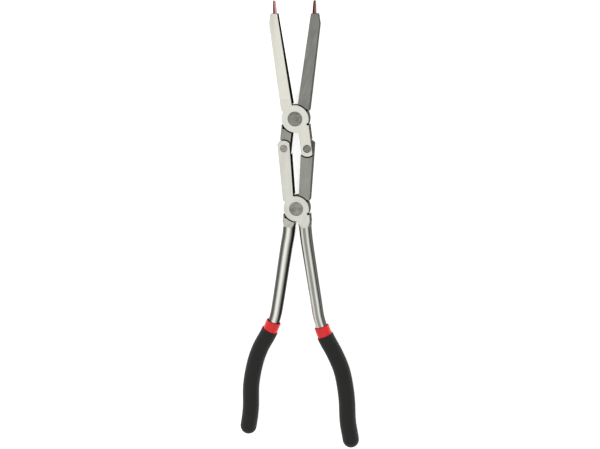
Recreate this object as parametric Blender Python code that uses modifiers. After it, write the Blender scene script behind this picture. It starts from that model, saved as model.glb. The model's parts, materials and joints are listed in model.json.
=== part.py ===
"""Long-reach double-X ring pliers, lying flat: two jaws and two levers on four rivets.

Each jaw and each lever is a forging with half-thickness laps at its pivots.  The front
member of a pair is modelled in its own frame, and the rear member is the same forging
turned half a turn about the tool's length.  X is across the tool, Y runs from the grips
to the tips, and Z is up, through the tool's thickness.
"""
import math

import bmesh
import bpy
from mathutils import Matrix, Vector

MM = 0.001

# ---- driving dimensions -------------------------------------------------------------
THICKNESS = 9.0 * MM           # hubs, links and bars, front face to rear face
LAP_GAP = 0.3 * MM             # between the two half-thickness laps of a pivot
HALF = THICKNESS / 2

# Lower pivot, from the middle of the tool's box and the surface that it lies on.
LOWER_PIVOT = Vector((0.645 * MM, 18.153 * MM, 6.65 * MM))

# Everything below is measured from the lower pivot's axis, for the front member.
UPPER_PIVOT_Y = 69.1 * MM
LINK_PIVOT = (8.96 * MM, 46.5 * MM)     # the jaw's lower end is here, the lever's at -X

JAW_BOSS_R = 10.4 * MM
LEVER_HUB_R = 9.9 * MM
SHOULDER_GAP = 0.8 * MM        # from a boss to the other member's shoulder
TONGUE_R = 6.1 * MM            # round end at a link pivot
TONGUE_SHOULDER_R = 6.9 * MM

JAW_TOP_Y = 147.3 * MM
JAW_TOP_INNER = 12.66 * MM
JAW_TOP_OUTER = 18.04 * MM
JAW_CORNER = (19.1 * MM, 139.8 * MM)    # where the outer edge is cut off towards the tip
JAW_HEEL = (10.6 * MM, 75.5 * MM)       # outer edge's lower corner, beside the boss
JAW_HEEL_BEARING = 152.0                # from the boss's centre, where its rim meets the heel's step
JAW_ARM_FOOT = (-2.2 * MM, 79.5 * MM)   # the inner edge runs towards this point of the boss
JAW_LEG_TOP = (2.7 * MM, 59.0 * MM)     # and the leg's inner edge towards this one
JAW_END_THICKNESS = 6.6 * MM
JAW_TAPER_Y = 84.0 * MM                 # the faces start to taper here

JAW_LEG_SHOULDER = (10.3 * MM, 64.9 * MM)
JAW_LEG_OUTER_X = 13.25 * MM            # outer and inner edge, level with the link pivot
JAW_LEG_INNER_X = 5.0 * MM

LEVER_HEEL = (10.3 * MM, 6.5 * MM)
LEVER_HEEL_BEARING = 150.0              # from the hub's centre, where its rim meets the heel's step
LEVER_OUTER_X = 14.15 * MM              # outer and inner edge, level with the link pivot
LEVER_INNER_X = 4.6 * MM
LEVER_CROTCH_X = 2.15 * MM              # inner edge, where it meets the hub
BAR_INNER = ((1.2 * MM, -9.8 * MM), (1.55 * MM, -14.0 * MM))
BAR_OUTER = ((10.75 * MM, -14.0 * MM), (10.2 * MM, -4.4 * MM))
NOTCH_R = 0.8 * MM                      # relief at each corner between a hub and an arm
CORNER_BEARING = -22.0                  # of the hub's own corner, from its centre
SHOULDER_BEARINGS = (144.0, -38.0)      # of the two ends of the lap's shoulders

ROD_R = 4.5 * MM                        # in the grip
ROD_SWELL = 0.45 * MM                   # how much thicker it is at the bar, tapering off
ROD_TAPER_LENGTH = 85.0 * MM
ROD_ROOT_R = 4.2 * MM                   # inside the square bar
BASE_BORE_R = 4.7 * MM
BASE_R = 5.85 * MM
COVER_BORE_R = 6.0 * MM
COVER_R = 6.65 * MM
FRONT_MOUTHS = (87.0 * MM, 94.8 * MM)   # where base and cover start, along the rod from its root
REAR_MOUTHS = (84.8 * MM, 92.6 * MM)
BAR_END = (5.0 * MM, 7.0 * MM)          # the rod comes out of the square bar between these
STATION = 7.0 * MM                      # length of one straight piece of a handle's curve
RING_SIDES = 16
TURN_STEPS = 32

# Rod and grip, from the hub to the rounded end, on the member's own side.
FRONT_PATH = ((5.6, -8.0), (6.6, -20.4), (8.15, -33.2), (13.9, -73.2), (16.2, -87.7), (21.0, -102.0),
              (28.7, -116.8), (34.3, -131.4), (37.5, -151.2), (38.4, -171.2), (40.6, -185.5), (41.4, -193.2))
REAR_PATH = ((5.6, -8.0), (7.0, -20.8), (9.3, -33.5), (15.9, -73.8), (18.9, -88.5), (23.9, -100.5),
             (31.1, -113.8), (35.9, -127.5), (39.2, -145.0), (39.9, -164.0), (41.9, -178.5), (43.7, -186.0))

# Rivets: head radius, head height, shank radius.
UPPER_RIVET = (5.5 * MM, 1.6 * MM, 3.5 * MM)
LOWER_RIVET = (5.3 * MM, 1.6 * MM, 3.5 * MM)
LINK_RIVET = (2.75 * MM, 1.2 * MM, 1.6 * MM)
RIVET_GAP = 0.15 * MM
OPEN_GAP = 0.3 * MM                     # round the right link rivet, in the front jaw
HEAD_SINK = 0.05 * MM                   # heads lie this far below the faces

TIP_BASE = (14.9 * MM, JAW_TOP_Y)
TIP_LENGTH = 9.6 * MM
TIP_BASE_R = 1.5 * MM
TIP_END_R = 0.95 * MM
TIP_SHANK_R = 1.35 * MM
TIP_SHANK_LENGTH = 8.0 * MM
TIP_BORE_R = 1.5 * MM
TIP_BORE_DEPTH = 8.5 * MM
TIP_SPLAY = math.radians(2.0)
TIP_SEAT = 0.15 * MM                    # the cone starts this far off the jaw's end

REACH = 30.0 * MM                       # cutters run this far past what they cut

SATIN = ((0.70, 0.69, 0.63, 1.0), 0.35, 1.0)
GROUND = ((0.23, 0.22, 0.20, 1.0), 0.45, 1.0)
RED_VINYL = ((0.62, 0.02, 0.02, 1.0), 0.40, 0.0)
BLACK_VINYL = ((0.022, 0.022, 0.020, 1.0), 0.60, 0.0)
RED_LACQUER = ((0.36, 0.02, 0.05, 1.0), 0.30, 0.0)


# ---- scene helpers ------------------------------------------------------------------
def clear_scene():
    """Removes every object that the scene already holds."""
    for old in list(bpy.data.objects):
        bpy.data.objects.remove(old, do_unlink=True)


def collection(name):
    """A new collection under the scene's own."""
    made = bpy.data.collections.new(name)
    bpy.context.scene.collection.children.link(made)
    return made


def material(name, finish):
    """A Principled material from (colour, roughness, metallic)."""
    made = bpy.data.materials.new(name)
    made.use_nodes = True
    shader = made.node_tree.nodes["Principled BSDF"]
    colour, roughness, metallic = finish
    shader.inputs["Base Color"].default_value = colour
    shader.inputs["Roughness"].default_value = roughness
    shader.inputs["Metallic"].default_value = metallic
    made.diffuse_color = colour
    return made


class Body:
    """An empty on a joint's axis, and the frame of the pieces that turn with it."""

    def __init__(self, name, axis_xy, rear):
        self.empty = bpy.data.objects.new(name + "_axis", None)
        PLIERS.objects.link(self.empty)
        side = -1.0 if rear else 1.0
        self.empty.location = LOWER_PIVOT + Vector((side * axis_xy[0], axis_xy[1], 0.0))
        self.empty.rotation_euler = (0.0, math.pi if rear else 0.0, 0.0)
        self.offset = Vector((-axis_xy[0], -axis_xy[1], 0.0))

    def hold(self, piece):
        """Parents a piece, placed about the lower pivot's axis, to this body."""
        piece.parent = self.empty
        piece.location = piece.location + self.offset
        return piece


def link(piece, where):
    """Puts a new object in a collection."""
    where.objects.link(piece)
    return piece


def as_cutter(piece):
    """Marks an object as a cutter or a guide."""
    piece.hide_render = True
    piece.display_type = "WIRE"
    return piece


def boolean(target, tool, operation):
    """Adds an exact Boolean of target with tool."""
    step = target.modifiers.new(operation.lower() + "_" + tool.name, "BOOLEAN")
    step.operation = operation
    step.solver = "EXACT"
    step.object = tool


def smooth(mesh):
    """Smooth shading, with sharp edges kept."""
    mesh.shade_smooth()
    mesh.set_sharp_from_angle(angle=math.radians(35.0))


# ---- shapes -------------------------------------------------------------------------
def arc(centre, radius, start, end, step=9.0):
    """Points on an arc, from start to end in degrees, anticlockwise if end is larger."""
    count = max(2, math.ceil(abs(end - start) / step))
    turns = [math.radians(start + (end - start) * i / count) for i in range(count + 1)]
    return [(centre[0] + radius * math.cos(t), centre[1] + radius * math.sin(t)) for t in turns]


def bearing(centre, point):
    """Direction from a centre to a point, in degrees."""
    return math.degrees(math.atan2(point[1] - centre[1], point[0] - centre[0]))


def meet(start, end, centre, radius):
    """Where the line from start through end crosses a circle, nearest to end."""
    line_from = Vector(start)
    along = (Vector(end) - line_from).normalized()
    to_centre = Vector(centre) - line_from
    middle = to_centre.dot(along)
    reach = math.sqrt(max(0.0, radius ** 2 - (to_centre - along * middle).length ** 2))
    crossings = [line_from + along * (middle + side * reach) for side in (-1.0, 1.0)]
    return tuple(min(crossings, key=lambda p: (p - Vector(end)).length))


def mesh_from_curve(name, curve, where):
    """Turns a curve into a mesh object with its caps welded on."""
    source = link(bpy.data.objects.new(name + "_curve", curve), where)
    view = bpy.context.evaluated_depsgraph_get()
    mesh = bpy.data.meshes.new_from_object(source.evaluated_get(view))
    welder = bmesh.new()
    welder.from_mesh(mesh)
    bmesh.ops.remove_doubles(welder, verts=welder.verts, dist=1e-6)
    bmesh.ops.recalc_face_normals(welder, faces=welder.faces)
    welder.to_mesh(mesh)
    welder.free()
    made = link(bpy.data.objects.new(name, mesh), where)
    made.matrix_world = source.matrix_world
    bpy.data.objects.remove(source, do_unlink=True)
    return made


def plate(name, outline, low, high, where):
    """A flat outline with its faces at heights low and high."""
    curve = bpy.data.curves.new(name, "CURVE")
    curve.dimensions = "2D"
    curve.fill_mode = "BOTH"
    curve.extrude = (high - low) / 2
    spline = curve.splines.new("POLY")
    spline.points.add(len(outline) - 1)
    spline.use_cyclic_u = True
    for point, (x, y) in zip(spline.points, outline):
        point.co = (x, y, 0.0, 1.0)
    made = mesh_from_curve(name, curve, where)
    made.data.transform(Matrix.Translation((0.0, 0.0, (high + low) / 2)))
    return made


def disc(name, centre, radius, low, high, where):
    """A round plate."""
    return plate(name, arc(centre, radius, 0.0, 360.0)[:-1], low, high, where)


def turned(name, profile, where, steps=TURN_STEPS):
    """A solid of revolution about Z, from (radius, height) points, top to bottom."""
    mesh = bpy.data.meshes.new(name)
    verts = [(radius, 0.0, height) for radius, height in profile]
    mesh.from_pydata(verts, [(i, i + 1) for i in range(len(verts) - 1)], [])
    made = link(bpy.data.objects.new(name, mesh), where)
    screw = made.modifiers.new("turn", "SCREW")
    screw.axis = "Z"
    screw.steps = steps
    screw.render_steps = steps
    screw.use_merge_vertices = True
    screw.merge_threshold = 1e-6
    screw.use_smooth_shade = False
    return made


def spindle(name, centre, sizes, gap, where):
    """A two-headed rivet through the tool, or the hole for it when gap is the clearance."""
    head_r, head_height, shank_r = sizes
    top = HALF - HEAD_SINK + (REACH if gap else 0.0)
    under = HALF - HEAD_SINK - head_height - gap
    profile = [(0.0, top), (head_r + gap, top), (head_r + gap, under), (shank_r + gap, under)]
    profile += [(radius, -height) for radius, height in reversed(profile)]
    made = turned(name, profile, where)
    made.location = (centre[0], centre[1], 0.0)
    return made


class Handle:
    """The curve of one rod and its grip, cut into stations that every layer shares."""

    def __init__(self, points, mouths):
        self.fine, self.lengths = self.smooth_curve(points)
        self.mouths = mouths
        self.end_centre = self.lengths[-1] - COVER_R
        fixed = [*BAR_END, *mouths, self.end_centre]
        even = [i * STATION for i in range(int(self.end_centre / STATION) + 1)]
        clear = [s for s in even if min(abs(s - mark) for mark in fixed) > STATION / 3]
        self.stations = sorted(clear + fixed)

    @staticmethod
    def smooth_curve(points):
        """Close points on a smooth curve through the given ones, and their distances."""
        knots = [Vector(point) * MM for point in points]
        knots = [2 * knots[0] - knots[1]] + knots + [2 * knots[-1] - knots[-2]]
        fine = []
        for a, b, c, d in zip(knots, knots[1:], knots[2:], knots[3:]):
            for t in (i / 20 for i in range(20)):
                bend = 2 * a - 5 * b + 4 * c - d
                twist = 3 * b - a - 3 * c + d
                fine.append((2 * b + (c - a) * t + bend * t ** 2 + twist * t ** 3) / 2)
        fine.append(knots[-2])
        lengths = [0.0]
        for start, end in zip(fine, fine[1:]):
            lengths.append(lengths[-1] + (end - start).length)
        return fine, lengths

    def at(self, distance):
        """The point at a distance along the curve."""
        for i in range(1, len(self.lengths)):
            if self.lengths[i] >= distance:
                share = (distance - self.lengths[i - 1]) / (self.lengths[i] - self.lengths[i - 1])
                return self.fine[i - 1].lerp(self.fine[i], share)
        return self.fine[-1]

    def tube(self, name, rings, where):
        """A round solid through (distance, radius) rings."""
        curve = bpy.data.curves.new(name, "CURVE")
        curve.dimensions = "3D"
        curve.bevel_depth = 1.0
        curve.bevel_resolution = RING_SIDES // 2 - 2
        curve.use_fill_caps = True
        curve.twist_mode = "Z_UP"
        spline = curve.splines.new("POLY")
        spline.points.add(len(rings) - 1)
        for point, (distance, radius) in zip(spline.points, rings):
            x, y = self.at(distance)
            point.co = (x, y, 0.0, 1.0)
            point.radius = radius
        return mesh_from_curve(name, curve, where)

    def layer(self, name, start, radius, where):
        """A solid from start to the grip's round end, concentric with the other layers."""
        rings = [(start, radius)]
        rings += [(s, radius) for s in self.stations if s > start + STATION / 10]
        for tilt in (math.radians(angle) for angle in (25.0, 50.0, 70.0, 85.0)):
            rings.append((self.end_centre + radius * math.sin(tilt), radius * math.cos(tilt)))
        return self.tube(name, rings, where)

    def rod(self, name, where):
        """The round rod, from inside the square bar to inside the grip, slightly tapered."""
        rings = []
        for s in self.stations:
            swell = ROD_SWELL * max(0.0, 1.0 - s / ROD_TAPER_LENGTH)
            rings.append((s, ROD_ROOT_R if s <= BAR_END[0] else ROD_R + swell))
        return self.tube(name, rings[:-1], where)


# ---- outlines of the forgings -------------------------------------------------------
def jaw_outline():
    """A jaw from the front: arm up to the left, leg down to the right."""
    boss = (0.0, UPPER_PIVOT_Y)
    arm_foot = meet((-JAW_TOP_INNER, JAW_TOP_Y), JAW_ARM_FOOT, boss, JAW_BOSS_R)
    leg_in = (JAW_LEG_INNER_X, LINK_PIVOT[1])
    leg_out = (JAW_LEG_OUTER_X, LINK_PIVOT[1])
    leg_top = meet(leg_in, JAW_LEG_TOP, boss, JAW_BOSS_R)
    foot_in = meet(leg_top, (leg_in[0], leg_in[1] - TONGUE_R), LINK_PIVOT, TONGUE_R)
    foot_out = meet(JAW_LEG_SHOULDER, (leg_out[0], leg_out[1] - TONGUE_R), LINK_PIVOT, TONGUE_R)
    outline = [(-JAW_TOP_INNER, JAW_TOP_Y), (-JAW_TOP_OUTER, JAW_TOP_Y)]
    outline += [(-JAW_CORNER[0], JAW_CORNER[1]), (-JAW_HEEL[0], JAW_HEEL[1])]
    outline += arc(boss, JAW_BOSS_R, JAW_HEEL_BEARING, 360.0 + bearing(boss, leg_top))
    outline += arc(LINK_PIVOT, TONGUE_R, bearing(LINK_PIVOT, foot_in), bearing(LINK_PIVOT, foot_out))
    outline += [JAW_LEG_SHOULDER]
    outline += arc(boss, JAW_BOSS_R, CORNER_BEARING, bearing(boss, arm_foot))
    return outline


def lever_outline():
    """A lever from the front: arm up to the left, square bar down to the right."""
    pivot = (-LINK_PIVOT[0], LINK_PIVOT[1])
    hub = (0.0, 0.0)
    crotch = meet((-LEVER_INNER_X, pivot[1]), (-LEVER_CROTCH_X, LEVER_HUB_R), hub, LEVER_HUB_R)
    top_in = meet(crotch, (-LEVER_INNER_X, pivot[1] + TONGUE_R), pivot, TONGUE_R)
    heel = (-LEVER_HEEL[0], LEVER_HEEL[1])
    top_out = meet(heel, (-LEVER_OUTER_X, pivot[1] + TONGUE_R), pivot, TONGUE_R)
    outline = arc(pivot, TONGUE_R, bearing(pivot, top_in), bearing(pivot, top_out))
    outline += [heel]
    outline += arc(hub, LEVER_HUB_R, LEVER_HEEL_BEARING, 360.0 + bearing(hub, BAR_INNER[0]))
    outline += [BAR_INNER[1], *BAR_OUTER]
    outline += arc(hub, LEVER_HUB_R, CORNER_BEARING, bearing(hub, crotch))
    return outline


def lap_cuts(name, body, target, pivot, round_r):
    """Cuts away the rear half of a forging round one of its pivots."""
    void = disc(name, pivot, round_r, -HALF - REACH, LAP_GAP / 2, CUTTERS)
    boolean(target, as_cutter(body.hold(void)), "DIFFERENCE")


def bore_cut(name, body, target, pivot, rivet, gap):
    """Cuts a rivet's hole and the seats of its heads."""
    void = spindle(name, pivot, rivet, gap, CUTTERS)
    boolean(target, as_cutter(body.hold(void)), "DIFFERENCE")


def notch_cuts(name, body, target, pivot, radius):
    """Cuts the relief notches beside a pivot: through the hub's corner, and in the lap's shoulders."""
    spots = [(radius, CORNER_BEARING, HALF + REACH)]
    spots += [(radius + SHOULDER_GAP, angle, LAP_GAP) for angle in SHOULDER_BEARINGS]
    for number, (distance, angle, high) in enumerate(spots):
        turn = math.radians(angle)
        spot = (pivot[0] + distance * math.cos(turn), pivot[1] + distance * math.sin(turn))
        void = disc(f"{name}_{number}", spot, NOTCH_R, -HALF - REACH, high, CUTTERS)
        boolean(target, as_cutter(body.hold(void)), "DIFFERENCE")


def taper_cuts(name, body, target):
    """Planes the jaw's two faces down towards its end."""
    length = JAW_TOP_Y - JAW_TAPER_Y
    drop = (THICKNESS - JAW_END_THICKNESS) / 2
    slope = math.atan2(drop, length)
    for side in (1.0, -1.0):
        block = [(-REACH, 0.0), (REACH, 0.0), (REACH, length + REACH), (-REACH, length + REACH)]
        void = plate(f"{name}_{int(side > 0)}", block, 0.0, REACH, CUTTERS)
        void.data.transform(Matrix.Diagonal((1.0, 1.0, side, 1.0)))
        if side < 0:
            void.data.flip_normals()
        void.data.transform(Matrix.Rotation(-side * slope, 4, "X"))
        void.location = (0.0, JAW_TAPER_Y, side * HALF)
        boolean(target, as_cutter(body.hold(void)), "DIFFERENCE")


# ---- the pieces ---------------------------------------------------------------------
def make_jaw(name, body, upper_gap, lower_gap):
    """A jaw forging with its laps, bores, relief notches and tip socket."""
    jaw = body.hold(plate(name, jaw_outline(), -HALF, HALF, PLIERS))
    boss = (0.0, UPPER_PIVOT_Y)
    taper_cuts(name + "_taper", body, jaw)
    lap_cuts(name + "_boss_lap", body, jaw, boss, JAW_BOSS_R + SHOULDER_GAP)
    lap_cuts(name + "_foot_lap", body, jaw, LINK_PIVOT, TONGUE_SHOULDER_R)
    bore_cut(name + "_boss_bore", body, jaw, boss, UPPER_RIVET, upper_gap)
    bore_cut(name + "_foot_bore", body, jaw, LINK_PIVOT, LINK_RIVET, lower_gap)
    notch_cuts(name + "_notch", body, jaw, boss, JAW_BOSS_R)
    socket = [(0.0, TIP_SHANK_LENGTH), (TIP_BORE_R, TIP_SHANK_LENGTH)]
    socket += [(TIP_BORE_R, -TIP_BORE_DEPTH), (0.0, -TIP_BORE_DEPTH)]
    void = point_along_tip(turned(name + "_socket", socket, CUTTERS, steps=RING_SIDES))
    boolean(jaw, as_cutter(body.hold(void)), "DIFFERENCE")
    jaw.data.materials.append(STEEL)
    return jaw


def point_along_tip(piece):
    """Turns a piece made along Z so that it lies along the front jaw's tip."""
    piece.location = (-TIP_BASE[0], TIP_BASE[1], 0.0)
    along = Vector((-math.sin(TIP_SPLAY), math.cos(TIP_SPLAY), 0.0))
    piece.rotation_euler = along.to_track_quat("Z", "X").to_euler()
    return piece


def make_tip(name, body):
    """A tapered ring tip with a plain shank in the jaw."""
    profile = [(0.0, TIP_LENGTH), (TIP_END_R, TIP_LENGTH), (TIP_BASE_R, TIP_SEAT), (TIP_SHANK_R, TIP_SEAT)]
    profile += [(TIP_SHANK_R, -TIP_SHANK_LENGTH), (0.0, -TIP_SHANK_LENGTH)]
    tip = body.hold(point_along_tip(turned(name, profile, PLIERS, steps=RING_SIDES)))
    tip.data.materials.append(TIP_RED)
    return tip


def make_lever(name, body, handle):
    """A lever: arm, hub and square bar in one plate, and the round rod that it grows into."""
    lever = body.hold(plate(name, lever_outline(), -HALF, HALF, PLIERS))
    hub = (0.0, 0.0)
    pivot = (-LINK_PIVOT[0], LINK_PIVOT[1])
    lap_cuts(name + "_hub_lap", body, lever, hub, LEVER_HUB_R + SHOULDER_GAP)
    lap_cuts(name + "_arm_lap", body, lever, pivot, TONGUE_SHOULDER_R)
    notch_cuts(name + "_notch", body, lever, hub, LEVER_HUB_R)
    rod = body.hold(handle.rod(name + "_rod", CUTTERS))
    lap_cuts(name + "_rod_lap", body, rod, hub, LEVER_HUB_R + SHOULDER_GAP)
    boolean(lever, as_cutter(rod), "UNION")
    bore_cut(name + "_hub_bore", body, lever, hub, LOWER_RIVET, RIVET_GAP)
    bore_cut(name + "_arm_bore", body, lever, pivot, LINK_RIVET, RIVET_GAP)
    lever.data.materials.append(STEEL)
    return lever


def make_grip(prefix, body, handle):
    """A dipped grip: a red base with its collar showing, and a black cover over it."""
    base_mouth, cover_mouth = handle.mouths
    layers = (("grip_base", base_mouth, BASE_R, BASE_BORE_R, RED),
              ("grip_cover", cover_mouth, COVER_R, COVER_BORE_R, BLACK))
    for label, mouth, outer_r, bore_r, finish in layers:
        name = f"{prefix}_{label}"
        skin = body.hold(handle.layer(name, mouth, outer_r, PLIERS))
        bore = body.hold(handle.layer(name + "_bore", mouth - STATION, bore_r, CUTTERS))
        boolean(skin, as_cutter(bore), "DIFFERENCE")
        skin.data.materials.append(finish)
        smooth(skin.data)


def make_rivet(name, body, centre, sizes):
    """A rivet with both heads."""
    rivet = body.hold(spindle(name, centre, sizes, 0.0, PLIERS))
    rivet.data.materials.append(RIVET_STEEL)
    return rivet


clear_scene()
PLIERS = collection("double_x_ring_pliers")
CUTTERS = collection("cutters")
STEEL = material("satin_steel", SATIN)
RIVET_STEEL = material("ground_rivet_steel", GROUND)
RED = material("red_vinyl", RED_VINYL)
BLACK = material("black_vinyl", BLACK_VINYL)
TIP_RED = material("red_lacquer", RED_LACQUER)

front_lever = Body("front_lever", (0.0, 0.0), rear=False)
rear_lever = Body("rear_lever", (0.0, 0.0), rear=True)
rear_jaw = Body("rear_jaw", LINK_PIVOT, rear=True)
front_jaw = Body("front_jaw", (0.0, UPPER_PIVOT_Y), rear=False)

make_jaw("front_jaw", front_jaw, RIVET_GAP, OPEN_GAP)
make_jaw("rear_jaw", rear_jaw, RIVET_GAP, RIVET_GAP)
make_tip("front_jaw_tip", front_jaw)
make_tip("rear_jaw_tip", rear_jaw)

for side, body, points, mouths in (("front", front_lever, FRONT_PATH, FRONT_MOUTHS),
                                   ("rear", rear_lever, REAR_PATH, REAR_MOUTHS)):
    handle = Handle(points, mouths)
    make_lever(side + "_lever", body, handle)
    make_grip(side, body, handle)

make_rivet("upper_pivot_rivet", rear_jaw, (0.0, UPPER_PIVOT_Y), UPPER_RIVET)
make_rivet("lower_pivot_rivet", front_lever, (0.0, 0.0), LOWER_RIVET)
make_rivet("left_link_rivet", front_lever, (-LINK_PIVOT[0], LINK_PIVOT[1]), LINK_RIVET)
make_rivet("right_link_rivet", rear_lever, (-LINK_PIVOT[0], LINK_PIVOT[1]), LINK_RIVET)
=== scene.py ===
"""Long-reach double-X ring pliers: the visible pieces, their finishes and a plain studio.

The tool lies flat.  X is across it, Y runs from the grips to the tips and Z is up.  Each
front member is worked in its own frame about the lower pivot, and its rear mate is made in
the same frame and turned half a turn about the tool's length.
"""
import json
import logging
import math
from collections.abc import Callable, Iterable, Sequence
from dataclasses import dataclass, field
from enum import Enum

import bmesh
import bpy
from bpy.types import ID, Material, Mesh, MeshPolygon, Node, NodeSocket, NodeTree, Object
from mathutils import Matrix, Vector


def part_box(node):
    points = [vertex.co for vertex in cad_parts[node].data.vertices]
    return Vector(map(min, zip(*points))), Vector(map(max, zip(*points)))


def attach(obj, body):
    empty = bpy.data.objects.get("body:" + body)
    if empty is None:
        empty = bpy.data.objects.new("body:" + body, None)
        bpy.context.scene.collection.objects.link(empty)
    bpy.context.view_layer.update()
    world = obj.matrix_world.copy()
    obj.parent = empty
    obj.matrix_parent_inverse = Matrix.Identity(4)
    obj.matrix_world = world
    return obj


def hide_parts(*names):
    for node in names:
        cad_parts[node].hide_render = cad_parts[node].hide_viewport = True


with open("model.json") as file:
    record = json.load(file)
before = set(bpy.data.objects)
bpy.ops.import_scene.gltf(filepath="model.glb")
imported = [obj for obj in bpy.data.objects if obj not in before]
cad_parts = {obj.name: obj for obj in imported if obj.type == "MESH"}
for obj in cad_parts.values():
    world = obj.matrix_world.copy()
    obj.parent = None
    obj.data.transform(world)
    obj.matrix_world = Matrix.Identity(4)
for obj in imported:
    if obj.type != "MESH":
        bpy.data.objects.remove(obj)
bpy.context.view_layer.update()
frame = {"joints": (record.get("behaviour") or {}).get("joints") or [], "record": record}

LOG = logging.getLogger("ring_pliers")
MM = 0.001

Point = tuple[float, float]
Ring = tuple[float, float]
Tone = tuple[float, float]
SteelChoice = Callable[[MeshPolygon, Material], Material]
Colour = tuple[float, float, float, float]
Rgb = tuple[float, float, float]


class Layer(Enum):
    """Which member of a crossed pair a piece belongs to."""

    FRONT = "front"
    REAR = "rear"


class Carve(Enum):
    """What a tool does to the blank that it meets."""

    CUT = "DIFFERENCE"
    JOIN = "UNION"


def joint_place(name: str) -> Vector:
    """Where a joint of the frame lies, in metres."""
    joint = next(j for j in frame["joints"] if j["name"] == name)
    return Vector(joint["pos_m"])


LOWER = joint_place("handle_pivot")
UPPER_Y = joint_place("jaw_pivot").y - LOWER.y
LINK = (LOWER.x - joint_place("left_link_pivot").x, joint_place("left_link_pivot").y - LOWER.y)
ARM = (-LINK[0], LINK[1])
BOSS = (0.0, UPPER_Y)
HUB = (0.0, 0.0)
HALF = (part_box("front_lever")[1].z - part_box("front_lever")[0].z) / 2
REACH = 30.0 * MM
SHARP = math.radians(31.0)


def placement(layer: Layer) -> Matrix:
    """The transform from a member's own frame to the tool's."""
    turn = Matrix.Rotation(math.pi, 4, "Y") if layer is Layer.REAR else Matrix.Identity(4)
    return Matrix.Translation(LOWER) @ turn


def shift(point: Point) -> Matrix:
    """The move from the axis to a point of the middle plane."""
    return Matrix.Translation((point[0], point[1], 0.0))


# ---- outlines and curves ------------------------------------------------------------
def arc(centre: Point, radius: float, start: float, end: float, step: float = 3.0) -> list[Point]:
    """Points on an arc.

    Args:
        centre: The arc's centre.
        radius: Its radius.
        start: Direction of the first point, in degrees.
        end: Direction of the last point, in degrees.
        step: The most degrees between neighbours.

    Returns:
        The points, both ends included.
    """
    count = max(2, math.ceil(abs(end - start) / step))
    turns = [math.radians(start + (end - start) * i / count) for i in range(count + 1)]
    return [(centre[0] + radius * math.cos(t), centre[1] + radius * math.sin(t)) for t in turns]


def bearing(centre: Point, point: Point) -> float:
    """Direction from a centre to a point, in degrees."""
    return math.degrees(math.atan2(point[1] - centre[1], point[0] - centre[0]))


def meet(start: Point, end: Point, centre: Point, radius: float) -> Point:
    """Where a line crosses a circle.

    Args:
        start: A point on the line.
        end: Another, on the side of the wanted crossing.
        centre: The circle's centre.
        radius: The circle's radius.

    Returns:
        The crossing nearest to end.
    """
    origin = Vector(start)
    along = (Vector(end) - origin).normalized()
    to_centre = Vector(centre) - origin
    middle = to_centre.dot(along)
    reach = math.sqrt(max(0.0, radius ** 2 - (to_centre - along * middle).length ** 2))
    crossings = [origin + along * (middle + side * reach) for side in (-1.0, 1.0)]
    return tuple(min(crossings, key=lambda p: (p - Vector(end)).length))


class Route:
    """A smooth flat curve with distances along it."""

    FINENESS = 24
    HEADING_STEP = 1.5 * MM

    def __init__(self, knots_mm: Sequence[Point]) -> None:
        """Runs the curve through the knots and measures it.

        Args:
            knots_mm: Points that the curve passes through, in millimetres.
        """
        knots = [Vector(knot) * MM for knot in knots_mm]
        knots = [2 * knots[0] - knots[1]] + knots + [2 * knots[-1] - knots[-2]]
        self.fine: list[Vector] = []
        for a, b, c, d in zip(knots, knots[1:], knots[2:], knots[3:]):
            for t in (i / self.FINENESS for i in range(self.FINENESS)):
                bend = 2 * a - 5 * b + 4 * c - d
                twist = 3 * b - a - 3 * c + d
                self.fine.append((2 * b + (c - a) * t + bend * t ** 2 + twist * t ** 3) / 2)
        self.fine.append(knots[-2])
        self.lengths = [0.0]
        for start, end in zip(self.fine, self.fine[1:]):
            self.lengths.append(self.lengths[-1] + (end - start).length)

    @property
    def length(self) -> float:
        """The whole curve's length."""
        return self.lengths[-1]

    def at(self, distance: float) -> Vector:
        """The point at a distance along the curve, which runs on straight past its ends.

        Args:
            distance: Metres from the curve's start.

        Returns:
            The point.
        """
        if distance <= 0.0:
            return self.fine[0] + (self.fine[1] - self.fine[0]).normalized() * distance
        for i in range(1, len(self.lengths)):
            if self.lengths[i] >= distance:
                share = (distance - self.lengths[i - 1]) / (self.lengths[i] - self.lengths[i - 1])
                return self.fine[i - 1].lerp(self.fine[i], share)
        return self.fine[-1] + (self.fine[-1] - self.fine[-2]).normalized() * (distance - self.length)

    def heading(self, distance: float) -> Vector:
        """The curve's direction at a distance."""
        ahead, behind = self.at(distance + self.HEADING_STEP), self.at(distance - self.HEADING_STEP)
        return (ahead - behind).normalized()


# ---- solids -------------------------------------------------------------------------
def mesh_of(work: bmesh.types.BMesh, name: str) -> Mesh:
    """Closes a bmesh into a mesh with its faces pointing out.

    Args:
        work: The bmesh, which is freed.
        name: The mesh's name.

    Returns:
        The mesh.
    """
    bmesh.ops.remove_doubles(work, verts=work.verts, dist=1e-7)
    bmesh.ops.recalc_face_normals(work, faces=work.faces)
    mesh = bpy.data.meshes.new(name)
    work.to_mesh(mesh)
    work.free()
    return mesh


def slab(name: str, outline: Sequence[Point], low: float, high: float) -> Mesh:
    """A flat outline raised between two heights.

    Args:
        name: The mesh's name.
        outline: Its corners, anticlockwise.
        low: The lower face's height.
        high: The upper face's height.

    Returns:
        The closed mesh.
    """
    work = bmesh.new()
    base = work.faces.new([work.verts.new((x, y, low)) for x, y in outline])
    raised = bmesh.ops.extrude_face_region(work, geom=[base])["geom"]
    tops = [item for item in raised if isinstance(item, bmesh.types.BMVert)]
    bmesh.ops.translate(work, vec=(0.0, 0.0, high - low), verts=tops)
    return mesh_of(work, name)


def disc(name: str, centre: Point, radius: float, low: float, high: float) -> Mesh:
    """A round slab."""
    return slab(name, arc(centre, radius, 0.0, 360.0)[:-1], low, high)


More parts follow.
